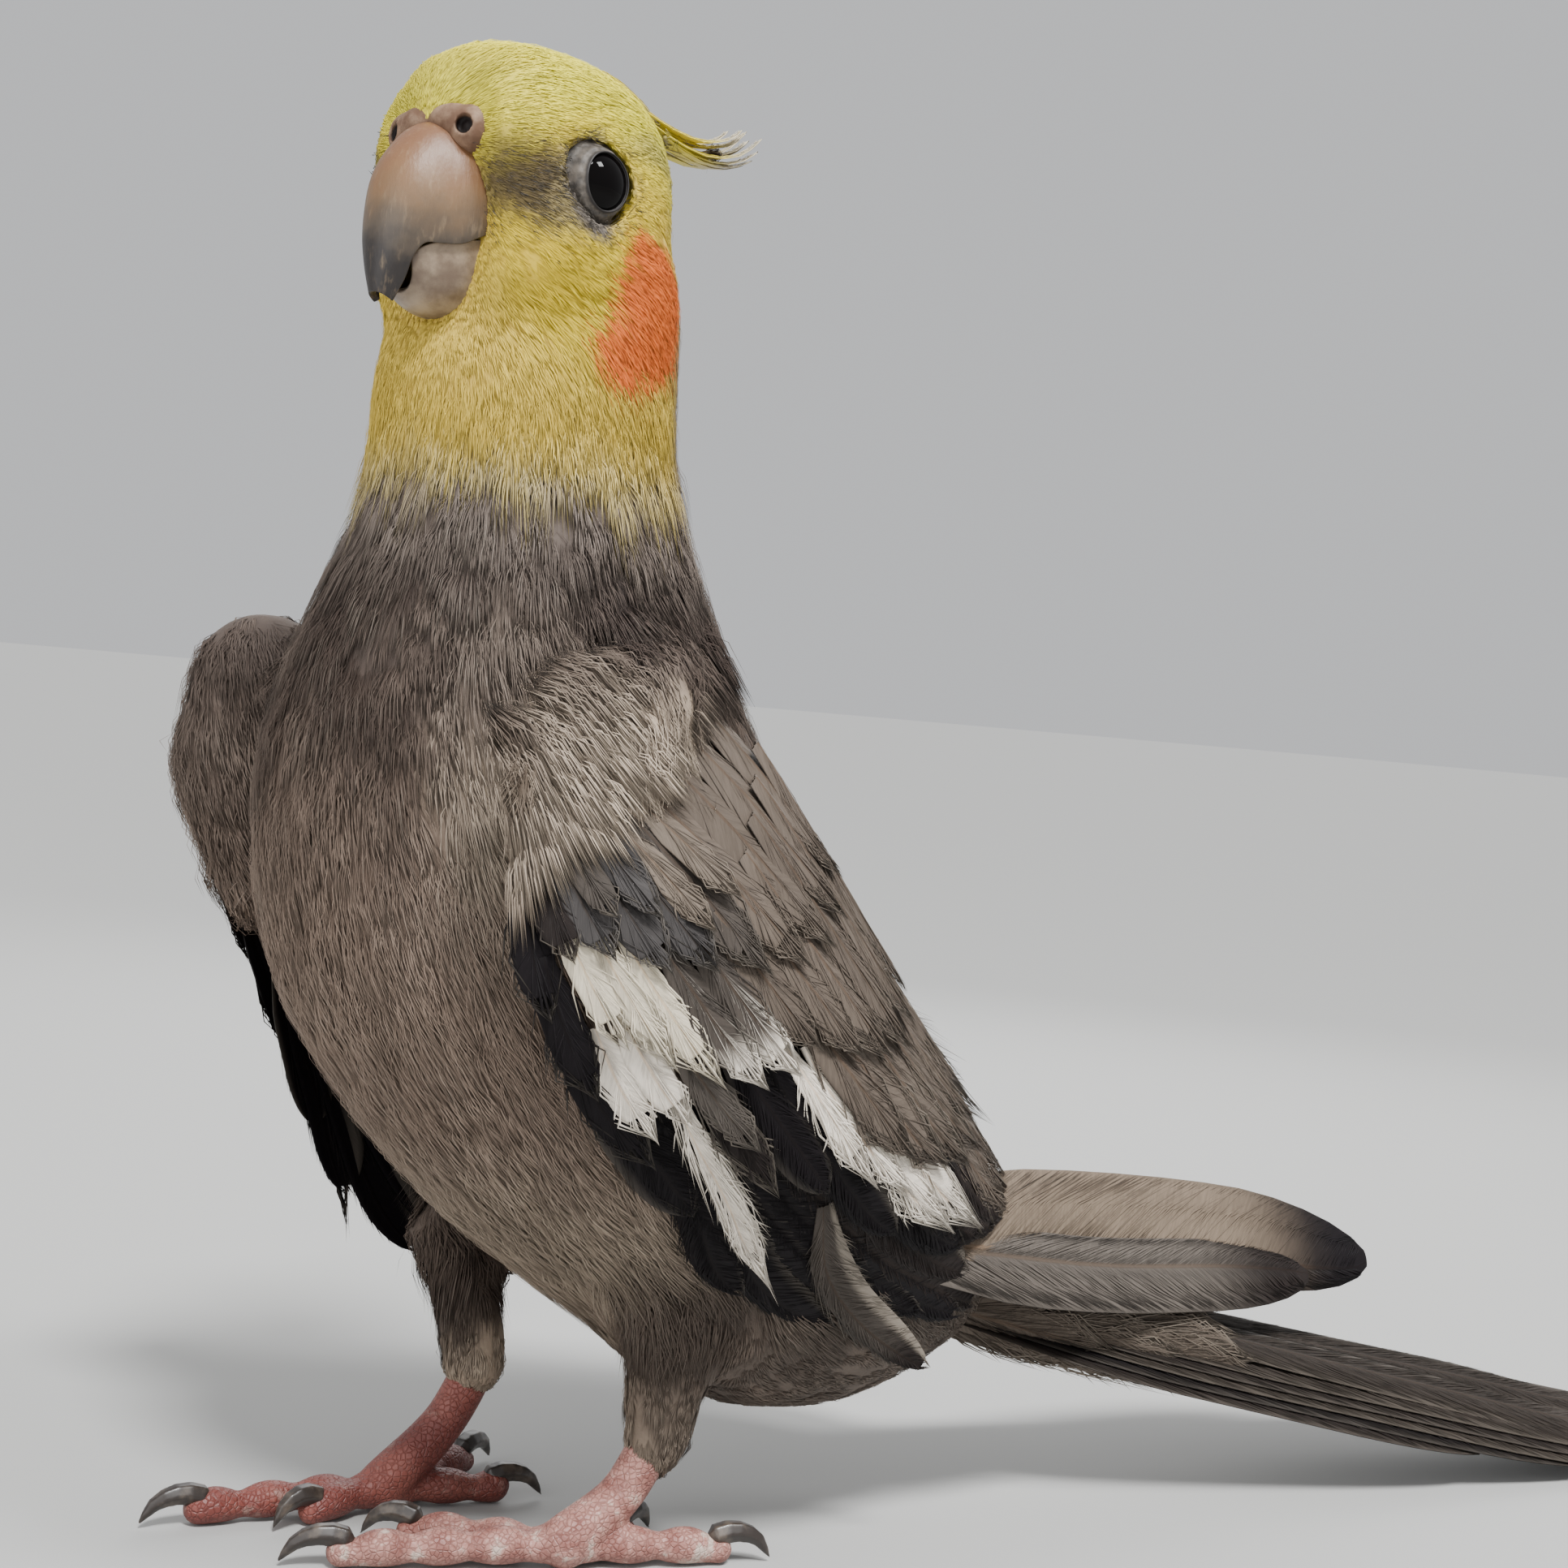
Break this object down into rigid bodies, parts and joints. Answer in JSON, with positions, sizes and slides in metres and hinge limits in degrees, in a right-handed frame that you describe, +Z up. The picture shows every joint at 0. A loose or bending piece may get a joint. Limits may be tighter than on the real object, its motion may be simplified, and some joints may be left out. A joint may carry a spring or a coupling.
{
  "type": "cockatiel",
  "caption": "Crested parrot standing at rest on both feet and its tail tip, head turned to its left, one wing hanging a little.",
  "frame": {"origin": "middle of the bird's own box, on the floor that its feet and tail tip rest on", "axes": "+Y from the bill towards the tail tip, +X towards the bird's left, +Z up"},
  "size_m": [0.0736, 0.2364, 0.1506],
  "materials": {
    "yellow_feathers": "matte",
    "grey_feathers": "matte",
    "wing_feathers": "matte",
    "tail_feathers": "matte",
    "cere": "matte",
    "horn": "satin",
    "eye": "gloss",
    "foot_skin": "matte",
    "claw": "satin"
  },
  "bodies": {
    "root": {"head": "yellow_feathers", "neck": "grey_feathers", "torso": "grey_feathers", "tail": "tail_feathers", "wing_left": "wing_feathers", "wing_right": "wing_feathers", "cere": "cere", "beak_upper": "horn", "beak_lower": "horn", "eye_left": "eye", "eye_right": "eye", "thigh_left": "grey_feathers", "foot_left": "foot_skin", "claw_left_outer_front": "claw", "claw_left_inner_front": "claw", "claw_left_outer_rear": "claw", "claw_left_inner_rear": "claw", "thigh_right": "grey_feathers", "foot_right": "foot_skin", "claw_right_outer_front": "claw", "claw_right_inner_front": "claw", "claw_right_outer_rear": "claw", "claw_right_inner_rear": "claw"}
  },
  "joints": []
}
